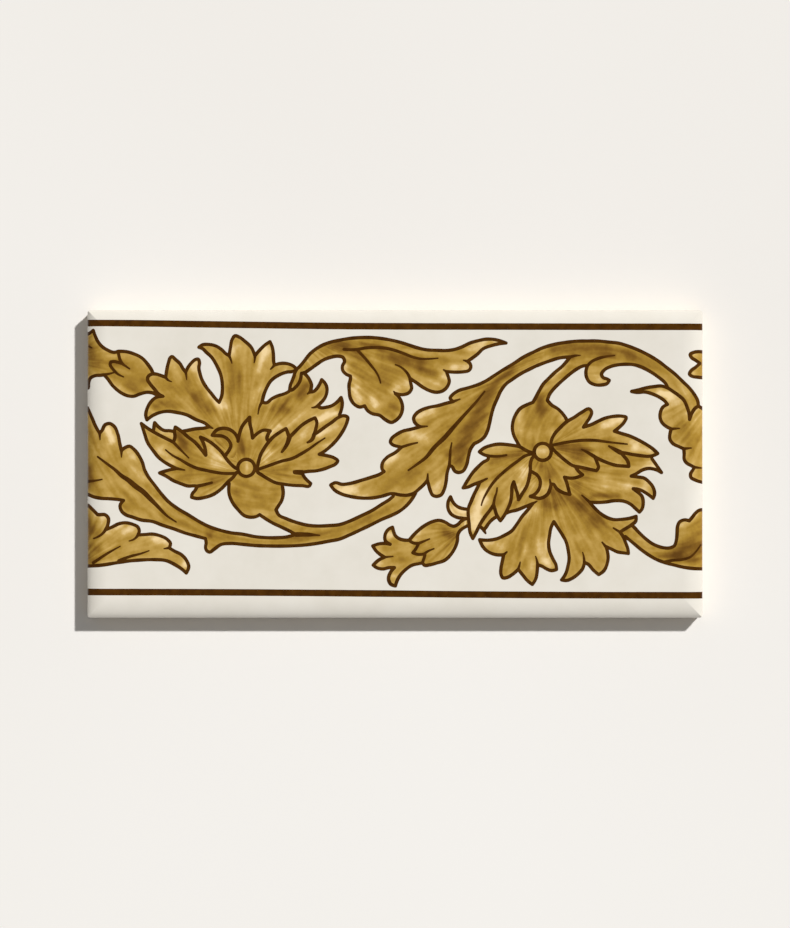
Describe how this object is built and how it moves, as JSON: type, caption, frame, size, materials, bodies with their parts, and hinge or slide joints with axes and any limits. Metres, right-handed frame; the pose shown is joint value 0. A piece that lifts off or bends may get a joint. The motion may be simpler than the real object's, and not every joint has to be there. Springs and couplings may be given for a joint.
{
  "type": "border tile",
  "caption": "Rectangular cushion-edged glazed ceramic border tile with a scrolling acanthus and flower frieze between two lines.",
  "frame": {"origin": "middle of the back, on the bedding plane", "axes": "+X along the border, +Y towards its upper edge, +Z out of the glazed face"},
  "size_m": [0.152, 0.076, 0.008],
  "materials": {
    "glazed_tile": "glossy warm white glaze with an ochre and dark brown painted frieze, and a matte unglazed back"
  },
  "bodies": {
    "root": {"border_tile": "glazed_tile"}
  },
  "joints": []
}
